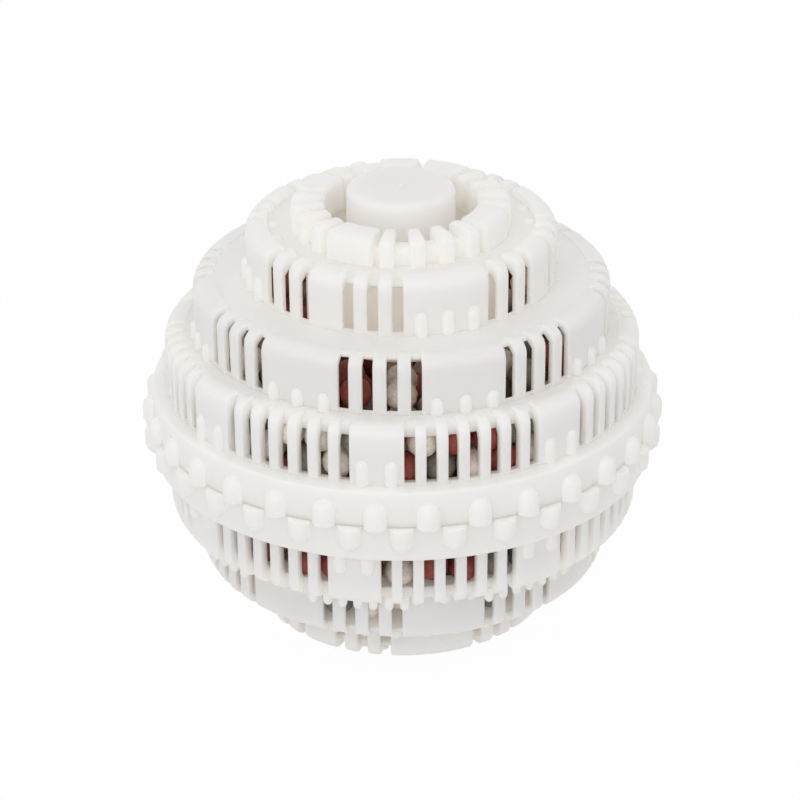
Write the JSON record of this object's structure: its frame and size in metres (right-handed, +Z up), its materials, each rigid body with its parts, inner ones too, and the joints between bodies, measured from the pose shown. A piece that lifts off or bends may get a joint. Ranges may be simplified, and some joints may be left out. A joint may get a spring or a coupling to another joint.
{
  "type": "laundry wash ball",
  "caption": "Slotted, stepped plastic wash ball with a studded belt, split at its middle and filled with loose ceramic beads, tumbled with the laundry.",
  "frame": {"origin": "centre of the lower pole cap's flat face, which the ball stands on", "axes": "+Z up the pole axis, -Y to the pictured front, +X to the right of it"},
  "size_m": [0.1, 0.1, 0.0924],
  "materials": {
    "white_plastic": "satin moulded polypropylene",
    "mixed_ceramic": "unglazed mixed beads",
    "cream_ceramic": "unglazed",
    "grey_ceramic": "unglazed",
    "red_ceramic": "unglazed"
  },
  "bodies": {
    "lower_half": {"lower_shell": "white_plastic"},
    "bead_charge": {"bead_bed": "mixed_ceramic", "bead_cream_01": "cream_ceramic", "bead_cream_02": "cream_ceramic", "bead_cream_03": "cream_ceramic", "bead_cream_04": "cream_ceramic", "bead_cream_05": "cream_ceramic", "bead_cream_06": "cream_ceramic", "bead_cream_07": "cream_ceramic", "bead_cream_08": "cream_ceramic", "bead_cream_09": "cream_ceramic", "bead_cream_10": "cream_ceramic", "bead_cream_11": "cream_ceramic", "bead_cream_12": "cream_ceramic", "bead_cream_13": "cream_ceramic", "bead_cream_14": "cream_ceramic", "bead_cream_15": "cream_ceramic", "bead_cream_16": "cream_ceramic", "bead_cream_17": "cream_ceramic", "bead_cream_18": "cream_ceramic", "bead_cream_19": "cream_ceramic", "bead_cream_20": "cream_ceramic", "bead_cream_21": "cream_ceramic", "bead_cream_22": "cream_ceramic", "bead_grey_01": "grey_ceramic", "bead_grey_02": "grey_ceramic", "bead_grey_03": "grey_ceramic", "bead_grey_04": "grey_ceramic", "bead_grey_05": "grey_ceramic", "bead_grey_06": "grey_ceramic", "bead_grey_07": "grey_ceramic", "bead_grey_08": "grey_ceramic", "bead_grey_09": "grey_ceramic", "bead_grey_10": "grey_ceramic", "bead_red_01": "red_ceramic", "bead_red_02": "red_ceramic", "bead_red_03": "red_ceramic", "bead_red_04": "red_ceramic", "bead_red_05": "red_ceramic", "bead_red_06": "red_ceramic", "bead_red_07": "red_ceramic", "bead_red_08": "red_ceramic", "bead_red_09": "red_ceramic", "bead_red_10": "red_ceramic", "bead_red_11": "red_ceramic", "bead_red_12": "red_ceramic"},
    "upper_half": {"upper_shell": "white_plastic"}
  },
  "joints": [
    {"name": "halves_turn", "type": "hinge", "parent": "lower_half", "child": "bead_charge", "pos_m": [0, 0, 0.046], "axis": [0, 0, 1], "continuous": true},
    {"name": "upper_half_lift", "type": "slide", "parent": "bead_charge", "child": "upper_half", "axis": [0, 0, 1], "range_m": [0, 0.06]}
  ]
}
